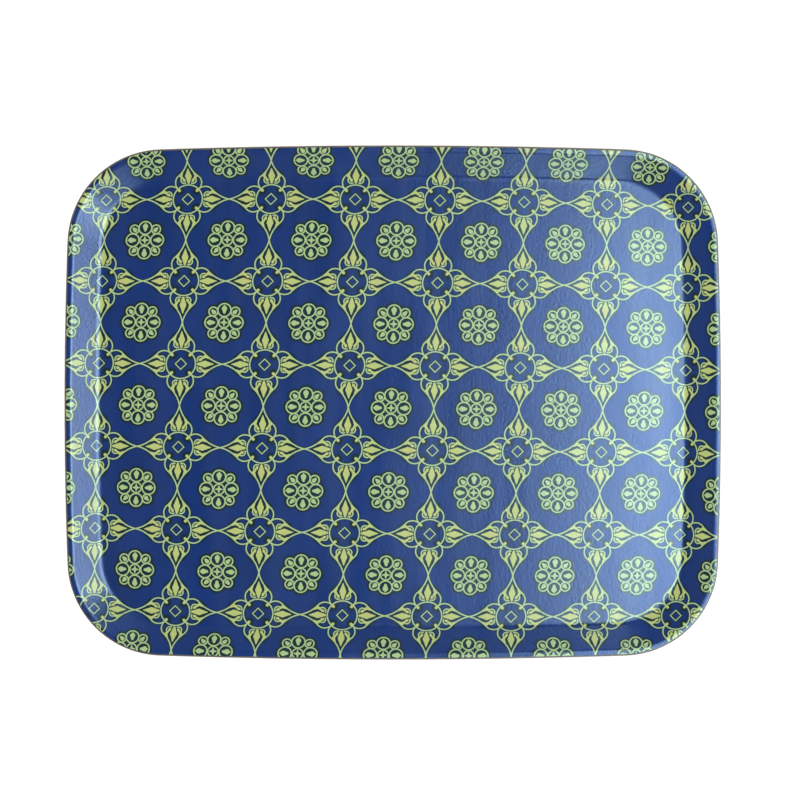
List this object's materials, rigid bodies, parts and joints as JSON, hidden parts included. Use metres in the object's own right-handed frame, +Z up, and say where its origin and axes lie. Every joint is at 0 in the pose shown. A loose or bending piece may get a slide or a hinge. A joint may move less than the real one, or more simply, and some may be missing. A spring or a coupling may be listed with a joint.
{
  "type": "serving tray",
  "caption": "Shallow rounded-rectangle serving tray moulded from crossed birch veneers, with a printed gloss top sheet, sloping walls and a narrow rim flange",
  "frame": {"origin": "middle of the flat resting face on the underside", "axes": "+X along the long side, +Y along the short side, +Z up out of the well"},
  "size_m": [0.36, 0.282, 0.0133],
  "materials": {
    "decor_sheet": "gloss melamine over a blue print with a green line pattern",
    "face_veneer": "birch, grain along the tray",
    "upper_cross_veneer": "birch, grain across the tray",
    "core_veneer": "birch, grain along the tray",
    "lower_cross_veneer": "birch, grain across the tray",
    "back_veneer": "birch, grain along the tray",
    "backing_sheet": "plain brown melamine-soaked kraft paper, satin"
  },
  "bodies": {
    "root": {"decor_sheet": "decor_sheet", "face_veneer": "face_veneer", "upper_cross_veneer": "upper_cross_veneer", "core_veneer": "core_veneer", "lower_cross_veneer": "lower_cross_veneer", "back_veneer": "back_veneer", "backing_sheet": "backing_sheet"}
  },
  "joints": []
}
